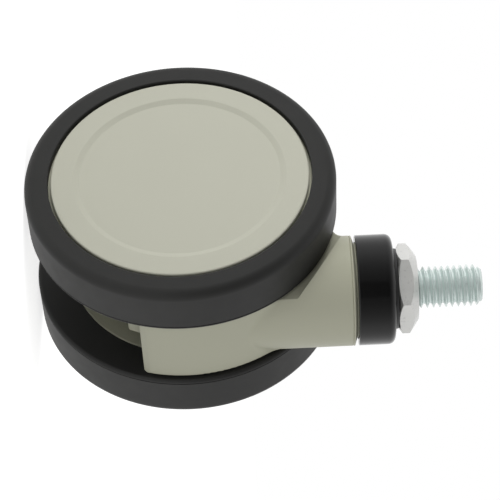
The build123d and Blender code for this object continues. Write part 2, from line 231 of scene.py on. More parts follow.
# --- Surface effects shared by the finishes -----------------------------------------------


def moulded_skin_group() -> bpy.types.NodeTree:
    """Builds the skin of a moulded part: slow shade drift, fine grain and uneven gloss.

    Returns:
        The node group, with Color, Roughness and Height outputs.
    """
    graph, given, made = shader_group(
        "moulded_skin",
        [("Vector", VECTOR, None), ("Base", COLOUR, (0.5, 0.5, 0.5, 1.0)),
         ("Drift", FLOAT, 0.05), ("Drift Scale", FLOAT, 45.0),
         ("Grain Scale", FLOAT, 2600.0), ("Grain Shade", FLOAT, 0.03),
         ("Gloss", FLOAT, 0.45), ("Gloss Spread", FLOAT, 0.08)],
        [("Color", COLOUR), ("Roughness", FLOAT), ("Height", FLOAT)])
    slow = graph.noise(given["Vector"], given["Drift Scale"], detail=3.0)
    grain = graph.noise(given["Vector"], given["Grain Scale"], detail=2.0, roughness=0.6)
    slow_offset = graph.math("MULTIPLY", graph.math("SUBTRACT", slow, 0.5), given["Drift"])
    grain_offset = graph.math("MULTIPLY", graph.math("SUBTRACT", grain, 0.5), given["Grain Shade"])
    shade = graph.math("ADD", graph.math("ADD", slow_offset, grain_offset), 1.0)
    scaled = graph.add("ShaderNodeVectorMath", operation="SCALE")
    graph.feed(scaled.inputs[0], given["Base"])
    graph.feed(scaled.inputs["Scale"], shade)
    graph.feed(made["Color"], scaled.outputs["Vector"])
    patch = graph.noise(given["Vector"], graph.math("MULTIPLY", given["Drift Scale"], 4.0), detail=4.0)
    spread = graph.math("MULTIPLY", graph.math("SUBTRACT", patch, 0.5), given["Gloss Spread"])
    graph.feed(made["Roughness"], graph.math("ADD", given["Gloss"], spread, clamp=True))
    graph.feed(made["Height"], grain)
    return graph.tree


STREAK_STRETCHES = ((1.0, 14.0, 1.0), (1.0, 1.0, 11.0))
STREAK_RANGE = (0.62, 0.8)
SCUFFED_SCALE = 60.0
SCUFFED_RANGE = (0.45, 0.7)


def handling_wear_group() -> bpy.types.NodeTree:
    """Builds faint scuffs: short streaks in two directions that lift colour and roughness.

    Returns:
        The node group, with Color and Roughness outputs.
    """
    graph, given, made = shader_group(
        "handling_wear",
        [("Vector", VECTOR, None), ("Color", COLOUR, (0.5, 0.5, 0.5, 1.0)),
         ("Roughness", FLOAT, 0.4), ("Scuff Color", COLOUR, (0.5, 0.5, 0.5, 1.0)),
         ("Amount", FLOAT, 0.2), ("Streak Scale", FLOAT, 220.0)],
        [("Color", COLOUR), ("Roughness", FLOAT)])
    streaks = []
    for stretch in STREAK_STRETCHES:
        mapping = graph.add("ShaderNodeMapping")
        mapping.inputs["Scale"].default_value = stretch
        graph.feed(mapping.inputs["Vector"], given["Vector"])
        streak = graph.noise(mapping.outputs["Vector"], given["Streak Scale"], detail=5.0, roughness=0.7)
        streaks.append(graph.ramp(streak, *STREAK_RANGE))
    where = graph.ramp(graph.noise(given["Vector"], SCUFFED_SCALE, detail=3.0), *SCUFFED_RANGE)
    streak = graph.math("MAXIMUM", *streaks)
    mask = graph.math("MULTIPLY", graph.math("MULTIPLY", streak, where), given["Amount"], clamp=True)
    mix = graph.add("ShaderNodeMix", data_type="RGBA")
    graph.feed(mix.inputs["Factor"], mask)
    graph.feed(mix.inputs["A"], given["Color"])
    graph.feed(mix.inputs["B"], given["Scuff Color"])
    graph.feed(made["Color"], mix.outputs["Result"])
    lifted = graph.math("ADD", given["Roughness"], graph.math("MULTIPLY", mask, 0.25), clamp=True)
    graph.feed(made["Roughness"], lifted)
    return graph.tree


PIT_RANGE = (0.28, 0.4)
PIT_SHADE = 0.72


def plated_skin_group() -> bpy.types.NodeTree:
    """Builds plated steel: cloudy plating, pinhead marks and fine tool marks.

    Returns:
        The node group, with Color, Roughness and Height outputs.
    """
    graph, given, made = shader_group(
        "plated_skin",
        [("Vector", VECTOR, None), ("Base", COLOUR, (0.6, 0.6, 0.6, 1.0)),
         ("Cloud", FLOAT, 0.12), ("Cloud Scale", FLOAT, 260.0),
         ("Gloss", FLOAT, 0.3), ("Gloss Spread", FLOAT, 0.12),
         ("Mark Scale", FLOAT, 1500.0)],
        [("Color", COLOUR), ("Roughness", FLOAT), ("Height", FLOAT)])
    cloud = graph.noise(given["Vector"], given["Cloud Scale"], detail=4.0, roughness=0.6)
    marks = graph.noise(given["Vector"], given["Mark Scale"], detail=3.0, roughness=0.65)
    centred = graph.math("SUBTRACT", cloud, 0.5)
    shade = graph.math("ADD", graph.math("MULTIPLY", centred, given["Cloud"]), 1.0)
    pits = graph.ramp(marks, *PIT_RANGE, PIT_SHADE, 1.0)
    scaled = graph.add("ShaderNodeVectorMath", operation="SCALE")
    graph.feed(scaled.inputs[0], given["Base"])
    graph.feed(scaled.inputs["Scale"], graph.math("MULTIPLY", shade, pits))
    graph.feed(made["Color"], scaled.outputs["Vector"])
    spread = graph.math("MULTIPLY", centred, given["Gloss Spread"])
    graph.feed(made["Roughness"], graph.math("ADD", given["Gloss"], spread, clamp=True))
    graph.feed(made["Height"], marks)
    return graph.tree


class SkinLibrary:
    """Builds each shared shader group once and hands it out."""

    BUILDERS = {"moulded": moulded_skin_group, "wear": handling_wear_group, "plated": plated_skin_group}

    def __init__(self) -> None:
        """Starts with no groups made."""
        self._made: dict[str, bpy.types.NodeTree] = {}

    def group(self, name: str) -> bpy.types.NodeTree:
        """Gives a group.

        Args:
            name: One of the names in BUILDERS.

        Returns:
            The node group.
        """
        if name not in self._made:
            self._made[name] = self.BUILDERS[name]()
        return self._made[name]


SKINS = SkinLibrary()


def rgba(colour: tuple[float, float, float]) -> tuple[float, float, float, float]:
    """Adds full opacity to a linear colour."""
    return (*colour, 1.0)


def place_group(graph: Graph, name: str, values: dict[str, object]) -> bpy.types.Node:
    """Places a shared group in a material.

    Args:
        graph: The material's graph.
        name: The group's name in the library.
        values: Socket or value for each named input.

    Returns:
        The group node.
    """
    node = graph.add("ShaderNodeGroup", node_tree=SKINS.group(name))
    for label, value in values.items():
        graph.feed(node.inputs[label], value)
    return node


def blank_material(name: str) -> tuple[bpy.types.Material, Graph, bpy.types.Node, bpy.types.NodeSocket]:
    """Makes a material with a Principled shader on Object coordinates.

    Args:
        name: The material's name.

    Returns:
        The material, its graph, the shader and the coordinates.
    """
    material = bpy.data.materials.new(name)
    material.use_nodes = True
    material.node_tree.nodes.clear()
    graph = Graph(material.node_tree)
    shader = graph.add("ShaderNodeBsdfPrincipled")
    graph.feed(graph.add("ShaderNodeOutputMaterial").inputs["Surface"], shader.outputs["BSDF"])
    return material, graph, shader, graph.add("ShaderNodeTexCoord").outputs["Object"]


def bump(graph: Graph, height: object, strength: float, distance: float) -> bpy.types.NodeSocket:
    """Adds a Bump node.

    Args:
        graph: The material's graph.
        height: The height, from 0 to 1.
        strength: Share of the effect.
        distance: Height of 1, in metres.

    Returns:
        The bumped normal.
    """
    node = graph.add("ShaderNodeBump")
    node.inputs["Strength"].default_value = strength
    node.inputs["Distance"].default_value = distance
    graph.feed(node.inputs["Height"], height)
    return node.outputs["Normal"]


@dataclass(frozen=True)
class MouldedFinish:
    """Injection-moulded plastic."""

    slot: str
    colour: tuple[float, float, float]
    gloss: float
    gloss_spread: float = 0.06
    drift: float = 0.06
    drift_scale: float = 45.0
    grain_scale: float = 2600.0
    grain_shade: float = 0.03
    grain_height: float = 0.00001
    relief: float = 0.5
    scuff: float = 0.1
    scuff_colour: tuple[float, float, float] = (0.6, 0.6, 0.56)
    streak_scale: float = 220.0
    specular: float = 0.5

    def height(self, graph: Graph, coordinates: bpy.types.NodeSocket,
               grain: bpy.types.NodeSocket) -> bpy.types.NodeSocket:
        """Gives the height that the bump follows: here the grain alone.

        Args:
            graph: The material's graph.
            coordinates: The Object coordinates.
            grain: The skin's own height.

        Returns:
            The height.
        """
        return grain

    def material(self) -> bpy.types.Material:
        """Builds the finish.

        Returns:
            The material.
        """
        material, graph, shader, coordinates = blank_material(self.slot)
        skin = place_group(graph, "moulded", {
            "Vector": coordinates, "Base": rgba(self.colour), "Drift": self.drift,
            "Drift Scale": self.drift_scale, "Grain Scale": self.grain_scale,
            "Grain Shade": self.grain_shade, "Gloss": self.gloss, "Gloss Spread": self.gloss_spread})
        wear = place_group(graph, "wear", {
            "Vector": coordinates, "Color": skin.outputs["Color"], "Roughness": skin.outputs["Roughness"],
            "Scuff Color": rgba(self.scuff_colour), "Amount": self.scuff,
            "Streak Scale": self.streak_scale})
        height = self.height(graph, coordinates, skin.outputs["Height"])
        graph.feed(shader.inputs["Base Color"], wear.outputs["Color"])
        graph.feed(shader.inputs["Roughness"], wear.outputs["Roughness"])
        graph.feed(shader.inputs["Normal"], bump(graph, height, self.relief, self.grain_height))
        shader.inputs["Specular IOR Level"].default_value = self.specular
        return material


@dataclass(frozen=True)
class RubberFinish(MouldedFinish):
    """Soft tyre rubber: matt, with a thin bloom and faint turned lines from its mould."""

    gloss_spread: float = 0.12
    drift: float = 0.22
    drift_scale: float = 70.0
    grain_scale: float = 3200.0
    grain_shade: float = 0.12
    grain_height: float = 0.000004
    relief: float = 0.6
    scuff: float = 0.12
    streak_scale: float = 140.0
    specular: float = 0.28
    line_pitch: float = 0.35
    line_share: float = 0.12
    axle: tuple[float, float, float] = (0.0, 0.0, 0.0)

    def height(self, graph: Graph, coordinates: bpy.types.NodeSocket,
               grain: bpy.types.NodeSocket) -> bpy.types.NodeSocket:
        """Adds the turned lines round the axle to the grain.

        Args:
            graph: The material's graph.
            coordinates: The Object coordinates.
            grain: The skin's own height.

        Returns:
            The height.
        """
        centred = graph.add("ShaderNodeVectorMath", operation="SUBTRACT")
        graph.feed(centred.inputs[0], coordinates)
        centred.inputs[1].default_value = self.axle
        split = graph.add("ShaderNodeSeparateXYZ")
        graph.feed(split.inputs[0], centred.outputs["Vector"])
        radius = graph.math("SQRT", graph.math("ADD", graph.math("POWER", split.outputs["X"], 2.0),
                                               graph.math("POWER", split.outputs["Z"], 2.0)))
        across = graph.math("ADD", radius, split.outputs["Y"])
        lines = graph.math("SINE", graph.math("MULTIPLY", across, 2 * math.pi / (self.line_pitch * MM)))
        return graph.math("ADD", grain, graph.math("MULTIPLY", lines, self.line_share))


@dataclass(frozen=True)
class PlatedFinish:
    """Plated or bare steel."""

    slot: str
    colour: tuple[float, float, float]
    gloss: float
    gloss_spread: float = 0.12
    cloud: float = 0.12
    cloud_scale: float = 260.0
    mark_scale: float = 1500.0
    mark_height: float = 0.000006
    relief: float = 0.4
    metallic: float = 1.0

    def material(self) -> bpy.types.Material:
        """Builds the finish.

        Returns:
            The material.
        """
        material, graph, shader, coordinates = blank_material(self.slot)
        skin = place_group(graph, "plated", {
            "Vector": coordinates, "Base": rgba(self.colour), "Cloud": self.cloud,
            "Cloud Scale": self.cloud_scale, "Gloss": self.gloss, "Gloss Spread": self.gloss_spread,
            "Mark Scale": self.mark_scale})
        graph.feed(shader.inputs["Base Color"], skin.outputs["Color"])
        graph.feed(shader.inputs["Roughness"], skin.outputs["Roughness"])
        graph.feed(shader.inputs["Normal"], bump(graph, skin.outputs["Height"], self.relief, self.mark_height))
        shader.inputs["Metallic"].default_value = self.metallic
        return material


# --- Turned and refined meshes ------------------------------------------------------------


@dataclass(frozen=True)
class Corner:
    """One corner of a turned section, in millimetres."""

    along: float
    radius: float
    rounding: float = 0.0


@dataclass(frozen=True)
class TurningAxis:
    """The line that turned sections go round."""

    origin: Vector
    direction: Vector

    def placement(self) -> Matrix:
        """Gives the matrix from a section's own frame, where Z is the axis, to the row frame."""
        turn = self.direction.to_track_quat("Z", "Y").to_matrix().to_4x4()
        return Matrix.Translation(self.origin) @ turn


ARC_STEPS = 8
SUPPORT = 0.12
MERGE_DISTANCE = 1e-7
FLAT_ANGLE = 0.6
SHADING_WEIGHT = 80
SEGMENT_POINTS = 24


def arms(places: Sequence[Vector], index: int) -> tuple[Vector, Vector]:
    """Gives the directions from a corner to the one before it and to the one after it."""
    here = places[index]
    return ((places[index - 1] - here).normalized(),
            (places[(index + 1) % len(places)] - here).normalized())


def rounded_section(corners: Sequence[Corner], closed: bool) -> list[Vector]:
    """Rounds a section's corners and adds support points beside each rounding.

    Args:
        corners: The section, in order.
        closed: Whether its last corner joins its first.

    Returns:
        Points of (along, radius), in millimetres.
    """
    places = [Vector((corner.along, corner.radius)) for corner in corners]
    count = len(corners)
    trims = []
    for index, corner in enumerate(corners):
        inner = closed or 0 < index < count - 1
        if not corner.rounding or not inner:
            trims.append(0.0)
            continue
        back, ahead = arms(places, index)
        trims.append(corner.rounding / math.tan(back.angle(ahead) / 2))
    points: list[Vector] = []
    for index, corner in enumerate(corners):
        here = places[index]
        if not trims[index]:
            points.append(here)
            continue
        before, after = (index - 1) % count, (index + 1) % count
        back, ahead = arms(places, index)
        opening = back.angle(ahead)
        start, end = here + back * trims[index], here + ahead * trims[index]
        centre = here + (back + ahead).normalized() * corner.rounding / math.sin(opening / 2)
        steps = max(3, math.ceil((math.pi - opening) / (math.pi / 2) * ARC_STEPS))
        room_back = (places[before] - here).length - trims[before] - trims[index]
        room_ahead = (places[after] - here).length - trims[after] - trims[index]
        points.append(start + back * min(SUPPORT, room_back / 3))
        first, last = start - centre, end - centre
        sweep = first.angle(last)
        for step in range(steps + 1):
            share = step / steps
            weight_first = math.sin((1 - share) * sweep) / math.sin(sweep)
            weight_last = math.sin(share * sweep) / math.sin(sweep)
            points.append(centre + first * weight_first + last * weight_last)
        points.append(end + ahead * min(SUPPORT, room_ahead / 3))
    return points


def turned(corners: Sequence[Corner], segments: int = 192, closed: bool = True) -> bmesh.types.BMesh:
    """Turns a section about Z.

    Args:
        corners: The section, in order; an open one starts and ends on the axis.
        segments: Facets in a full turn.
        closed: Whether the section is a closed loop clear of the axis.

    Returns:
        The turned form in metres, closed, with its faces outwards.
    """
    form = bmesh.new()
    rings = []
    for point in rounded_section(corners, closed):
        if point.y < 1e-6:
            rings.append([form.verts.new((0.0, 0.0, point.x * MM))])
            continue
        ring = []
        for step in range(segments):
            angle = 2 * math.pi * step / segments
            ring.append(form.verts.new((point.y * MM * math.cos(angle), point.y * MM * math.sin(angle),
                                        point.x * MM)))
        rings.append(ring)
    pairs = list(zip(rings, rings[1:] + rings[:1])) if closed else list(zip(rings, rings[1:]))
    for low, high in pairs:
        for step in range(segments):
            following = (step + 1) % segments
            corners_of_face = [low[step % len(low)], low[following % len(low)],
                               high[following % len(high)], high[step % len(high)]]
            form.faces.new(list(dict.fromkeys(corners_of_face)))
    bmesh.ops.recalc_face_normals(form, faces=form.faces)
    return form


def joined(forms: Sequence[bmesh.types.BMesh]) -> bmesh.types.BMesh:
    """Puts several forms in one, and frees them.

    Args:
        forms: The forms.

    Returns:
        One form with all their faces.
    """
    whole = bmesh.new()
    for form in forms:
        mesh = bpy.data.meshes.new("part")
        form.to_mesh(mesh)
        form.free()
        whole.from_mesh(mesh)
        bpy.data.meshes.remove(mesh)
    return whole


def mesh_object(name: str, form: bmesh.types.BMesh, placement: Matrix | None = None,
                sharp_angle: float = 32.0) -> bpy.types.Object:
    """Makes an object of a form, with its place in its mesh.

    Args:
        name: The object's name.
        form: The form, which is freed.
        placement: Matrix to the row frame.
        sharp_angle: Edges above this angle, in degrees, stay sharp.

    Returns:
        The object, at the origin.
    """
    if placement is not None:
        bmesh.ops.transform(form, matrix=placement, verts=form.verts)
    mesh = bpy.data.meshes.new(name)
    form.to_mesh(mesh)
    form.free()
    mesh.shade_smooth()
    mesh.set_sharp_from_angle(angle=math.radians(sharp_angle))
    piece = bpy.data.objects.new(name, mesh)
    bpy.context.scene.collection.objects.link(piece)
    return piece


def evaluated_mesh(piece: bpy.types.Object) -> bpy.types.Mesh:
    """Gives the mesh of an object with its modifiers, and removes the object.

    Args:
        piece: The object.

    Returns:
        Its evaluated mesh.
    """
    graph = bpy.context.evaluated_depsgraph_get()
    mesh = bpy.data.meshes.new_from_object(piece.evaluated_get(graph), depsgraph=graph)
    bpy.data.objects.remove(piece)
    return mesh


def refined_copy(node: bpy.types.Object, name: str, edge: float, segments: int = 3,
                 angle: float = 28.0) -> bpy.types.Object:
    """Copies a CAD node as a merged mesh with small rounded edges.

    Args:
        node: The CAD node, which stays as it is.
        name: The new object's name.
        edge: Width of the edge rounding, in millimetres.
        segments: Facets across the rounding.
        angle: Edges above this angle, in degrees, are rounded.

    Returns:
        The new object.
    """
    form = bmesh.new()
    form.from_mesh(node.data)
    bmesh.ops.remove_doubles(form, verts=form.verts, dist=MERGE_DISTANCE)
    bmesh.ops.dissolve_limit(form, angle_limit=math.radians(FLAT_ANGLE), verts=form.verts, edges=form.edges)
    piece = mesh_object(f"{name}_plain", form)
    rounding = piece.modifiers.new("edge_rounding", "BEVEL")
    rounding.width = edge * MM
    rounding.segments = segments
    rounding.limit_method = "ANGLE"
    rounding.angle_limit = math.radians(angle)
    rounding.miter_outer = "MITER_ARC"
    weighting = piece.modifiers.new("even_shading", "WEIGHTED_NORMAL")
    weighting.keep_sharp = True
    weighting.weight = SHADING_WEIGHT
    mesh = evaluated_mesh(piece)
    mesh.name = name
    refined = bpy.data.objects.new(name, mesh)
    bpy.context.scene.collection.objects.link(refined)
    return refined


# --- Geometry Nodes -----------------------------------------------------------------------


class RepeatTree:
    """A Geometry Nodes tree with named inputs, run once to give a form."""

    def __init__(self, name: str, inputs: Sequence[tuple[str, str, object]]) -> None:
        """Makes the tree and its sockets.

        Args:
            name: The tree's name.
            inputs: Name, socket type and value of each input.
        """
        self.tree = bpy.data.node_groups.new(name, "GeometryNodeTree")
        self.values: dict[str, object] = {}
        for label, kind, value in inputs:
            socket = self.tree.interface.new_socket(label, in_out="INPUT", socket_type=kind)
            self.values[socket.identifier] = value
        self.tree.interface.new_socket("Geometry", in_out="OUTPUT", socket_type="NodeSocketGeometry")
        self.graph = Graph(self.tree)
        given = self.graph.add("NodeGroupInput").outputs
        self.given = {label: given[label] for label, _, _ in inputs}
        self.made = self.graph.add("NodeGroupOutput").inputs["Geometry"]

    def node(self, kind: str, values: dict[str, object], **settings: object) -> bpy.types.Node:
        """Adds a node with its inputs.

        Args:
            kind: The node's Blender type name.
            values: Socket or value for each named input.
            **settings: Properties of the node.

        Returns:
            The node.
        """
        node = self.graph.add(kind, **settings)
        for label, value in values.items():
            self.graph.feed(node.inputs[label], value)
        return node

    def vector(self, x: object = 0.0, y: object = 0.0, z: object = 0.0) -> bpy.types.NodeSocket:
        """Combines three values, sockets or numbers, into a vector socket."""
        return self.node("ShaderNodeCombineXYZ", {"X": x, "Y": y, "Z": z}).outputs["Vector"]

    def finish(self, geometry: bpy.types.NodeSocket) -> None:
        """Ends the tree: realizes instances and sets the material.

        Args:
            geometry: The geometry to put out.
        """
        realized = self.node("GeometryNodeRealizeInstances", {"Geometry": geometry})
        painted = self.node("GeometryNodeSetMaterial",
                            {"Geometry": realized.outputs[0], "Material": self.given["Material"]})
        self.graph.feed(self.made, painted.outputs[0])

    def form(self) -> bmesh.types.BMesh:
        """Runs the tree on an empty mesh.

        Returns:
            What it makes, in the tree's own frame.
        """
        carrier = bpy.data.objects.new(self.tree.name, bpy.data.meshes.new(self.tree.name))
        bpy.context.scene.collection.objects.link(carrier)
        modifier = carrier.modifiers.new(self.tree.name, "NODES")
        modifier.node_group = self.tree
        for identifier, value in self.values.items():
            modifier[identifier] = value
        mesh = evaluated_mesh(carrier)
        form = bmesh.new()
        form.from_mesh(mesh)
        bpy.data.meshes.remove(mesh)
        return form

    def copies(self, points: bpy.types.NodeSocket, piece: bpy.types.NodeSocket,
               rotation: bpy.types.NodeSocket) -> bmesh.types.BMesh:
        """Stands a copy on each point, at the tree's Middle Height, and runs the tree.

        Args:
            points: Where the copies stand.
            piece: The geometry to copy.
            rotation: The turn of each copy.

        Returns:
            The copies.
        """
        spread = self.node("GeometryNodeInstanceOnPoints",
                           {"Points": points, "Instance": piece, "Rotation": rotation})
        lifted = self.node("GeometryNodeTransform",
                           {"Geometry": spread.outputs["Instances"],
                            "Translation": self.vector(0.0, 0.0, self.given["Middle Height"])})
        self.finish(lifted.outputs[0])
        return self.form()


def spoke_ribs(count: int, inner: float, outer: float, thickness: float, start: float, end: float,
               material: bpy.types.Material) -> bmesh.types.BMesh:
    """Makes straight ribs that stand round Z like spokes.

    Args:
        count: Number of ribs.
        inner: Radius where they start, in millimetres.
        outer: Radius where they end.
        thickness: Thickness of a rib.
        start: Height of their foot along Z.
        end: Height of their top along Z.
        material: The finish.

    Returns:
        The ribs.
    """
    tree = RepeatTree("spoke_ribs", [
        ("Count", COUNT, count), ("Middle Radius", FLOAT, (inner + outer) / 2 * MM),
        ("Length", FLOAT, (outer - inner) * MM), ("Thickness", FLOAT, thickness * MM),
        ("Height", FLOAT, (end - start) * MM), ("Middle Height", FLOAT, (start + end) / 2 * MM),
        ("Material", MATERIAL, material)])
    given = tree.given
    ring = tree.node("GeometryNodeMeshCircle", {"Vertices": given["Count"], "Radius": given["Middle Radius"]})
    bar = tree.node("GeometryNodeMeshCube",
                    {"Size": tree.vector(given["Length"], given["Thickness"], given["Height"])})
    outward = tree.node("FunctionNodeAlignRotationToVector",
                        {"Vector": tree.node("GeometryNodeInputPosition", {}).outputs[0]}, axis="X")
    return tree.copies(ring.outputs["Mesh"], bar.outputs["Mesh"], outward.outputs["Rotation"])


def ring_segments(count: int, radius: float, gap: float, thickness: float, start: float, end: float,
                  material: bpy.types.Material) -> bmesh.types.BMesh:
    """Makes a ring wall round Z that is cut into equal arcs, as snap-fit segments are.

    Args:
        count: Number of arcs.
        radius: Middle radius of the wall, in millimetres.
        gap: Free length between two arcs.
        thickness: Thickness of the wall.
        start: Height of its foot along Z.
        end: Height of its top along Z.
        material: The finish.

    Returns:
        The arcs.
    """
    sweep = 2 * math.pi / count - gap / radius
    tree = RepeatTree("ring_segments", [
        ("Count", COUNT, count), ("Radius", FLOAT, radius * MM), ("Sweep", FLOAT, sweep),
        ("Thickness", FLOAT, thickness * MM), ("Height", FLOAT, (end - start) * MM),
        ("Middle Height", FLOAT, (start + end) / 2 * MM), ("Material", MATERIAL, material)])
    given = tree.given
    arc = tree.node("GeometryNodeCurveArc",
                    {"Resolution": SEGMENT_POINTS, "Radius": given["Radius"], "Sweep Angle": given["Sweep"]})
    wall = tree.node("GeometryNodeCurvePrimitiveQuadrilateral",
                     {"Width": given["Thickness"], "Height": given["Height"]})
    swept = tree.node("GeometryNodeCurveToMesh", {"Curve": arc.outputs["Curve"],
                                                  "Profile Curve": wall.outputs["Curve"], "Fill Caps": True})
    points = tree.node("GeometryNodePoints", {"Count": given["Count"]})
    index = tree.node("GeometryNodeInputIndex", {}).outputs[0]
    turn = tree.graph.math("MULTIPLY", index, tree.graph.math("DIVIDE", 2 * math.pi, given["Count"]))
    return tree.copies(points.outputs[0], swept.outputs["Mesh"], tree.vector(0.0, 0.0, turn))


@dataclass(frozen=True)
class ThreadForm:
    """A rolled external thread round Z, in millimetres."""

    crest_radius: float = 5.0
    root_radius: float = 4.0
    pitch: float = 1.5
    start: float = -3.0
    end: float = 15.6
    tip_radius: float = 3.8
    tip_length: float = 1.5
    steps_per_turn: int = 96
    profile_steps: int = 16
    spare_turns: float = 3.0
    crest_share: float = 0.125
    root_share: float = 0.75

    def form(self, material: bpy.types.Material) -> bmesh.types.BMesh:
        """Winds one strip of the thread's profile along its helix, one pitch wide.

        Args:
            material: The finish.

        Returns:
            The threaded rod, with flat closed ends.
        """
        turns = (self.end - self.start) / self.pitch + self.spare_turns
        tree = RepeatTree("rolled_thread", [
            ("Crest Radius", FLOAT, self.crest_radius * MM), ("Root Radius", FLOAT, self.root_radius * MM),
            ("Pitch", FLOAT, self.pitch * MM), ("Start", FLOAT, self.start * MM),
            ("End", FLOAT, self.end * MM), ("Tip Radius", FLOAT, self.tip_radius * MM),
            ("Tip Slope", FLOAT, (self.crest_radius - self.tip_radius) / self.tip_length),
            ("Turns", FLOAT, turns), ("Steps", COUNT, round(turns * self.steps_per_turn) + 1),
            ("Profile Steps", COUNT, self.profile_steps + 1), ("Material", MATERIAL, material)])
        given, graph = tree.given, tree.graph
        strip = tree.node("GeometryNodeMeshGrid", {"Size X": 1.0, "Size Y": 1.0, "Vertices X": given["Steps"],
                                                   "Vertices Y": given["Profile Steps"]})
        place = tree.node("ShaderNodeSeparateXYZ",
                          {"Vector": tree.node("GeometryNodeInputPosition", {}).outputs[0]})
        turn = graph.math("MULTIPLY", graph.math("ADD", place.outputs["X"], 0.5), given["Turns"])
        across = graph.math("ADD", place.outputs["Y"], 0.5)
        climb = graph.math("MULTIPLY", graph.math("ADD", turn, graph.math("SUBTRACT", across, 2.0)),
                           given["Pitch"])
        height = graph.math("ADD", given["Start"], climb)
        from_crest = graph.math("ABSOLUTE", graph.math("SUBTRACT", graph.math("MULTIPLY", across, 2.0), 1.0))
        flank = graph.ramp(from_crest, self.crest_share, self.root_share, given["Crest Radius"],
                           given["Root Radius"])
        below_end = graph.math("MAXIMUM", graph.math("SUBTRACT", given["End"], height), 0.0)
        cone = graph.math("ADD", given["Tip Radius"], graph.math("MULTIPLY", below_end, given["Tip Slope"]))
        radius = graph.math("MINIMUM", flank, cone)
        past_end = graph.ramp(height, given["End"], graph.math("ADD", given["End"], given["Pitch"]), 1.0, 0.0)
        past_start = graph.ramp(height, graph.math("SUBTRACT", given["Start"], given["Pitch"]),
                                given["Start"])
        radius = graph.math("MULTIPLY", radius, graph.math("MULTIPLY", past_end, past_start))
        level = graph.math("MINIMUM", graph.math("MAXIMUM", height, given["Start"]), given["End"])
        angle = graph.math("MULTIPLY", turn, 2 * math.pi)
        wound = tree.node("GeometryNodeSetPosition", {
            "Geometry": strip.outputs["Mesh"],
            "Position": tree.vector(graph.math("MULTIPLY", radius, graph.math("COSINE", angle)),
                                    graph.math("MULTIPLY", radius, graph.math("SINE", angle)), level)})
        tree.finish(wound.outputs[0])
        form = tree.form()
        bmesh.ops.remove_doubles(form, verts=form.verts, dist=2 * MERGE_DISTANCE)
        bmesh.ops.dissolve_degenerate(form, edges=form.edges, dist=MERGE_DISTANCE)
        bmesh.ops.recalc_face_normals(form, faces=form.faces)
        return form


# --- Fitting pieces to the frame ----------------------------------------------------------


class Fitter:
    """Dresses pieces and CAD nodes and ties them to the frame."""

    def __init__(self, frame: dict) -> None:
        """Keeps the frame and the finish of each material slot.
        """
        self.nodes: dict[str, bpy.types.Object] = frame["nodes"]
        self.slots = {part["node"]: part["material_slot"] for part in frame["record"]["subparts"]}
        self.body = {node: body for body, names in frame["record"]["behaviour"]["bodies"].items()
                     for node in names}
        self.finishes: dict[str, bpy.types.Material] = {}

    def add_finish(self, finish: MouldedFinish | PlatedFinish) -> None:
        """Builds a finish for its material slot."""
        self.finishes[finish.slot] = finish.material()

    def finish_of(self, node: str) -> bpy.types.Material:
        """Gives the finish of a CAD node's material slot."""
        return self.finishes[self.slots[node]]

    def fit(self, piece: bpy.types.Object, node: str) -> bpy.types.Object:
        """Lets a piece stand for a CAD node.

        Args:
            piece: The piece, in place.
            node: The CAD node it replaces.

        Returns:
            The piece.
        """
        piece.data.materials.clear()
        piece.data.materials.append(self.finish_of(node))
        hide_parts(node)
        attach(piece, self.body[node])
        log.info("%s stands for %s: %d faces", piece.name, node, len(piece.data.polygons))
        return piece

    def dress(self, node: str) -> None:
        """Gives a CAD node its finish, and leaves its shape.

        Args:
            node: The CAD node.
        """
        for material_slot in self.nodes[node].material_slots:
            material_slot.link = "OBJECT"
            material_slot.material = self.finish_of(node)
        log.info("%s keeps its shape", node)


# --- The castor ---------------------------------------------------------------------------


class Hand(StrEnum):
    """The wheel's side of the castor: left lies towards +Y."""

    LEFT = "left"
    RIGHT = "right"


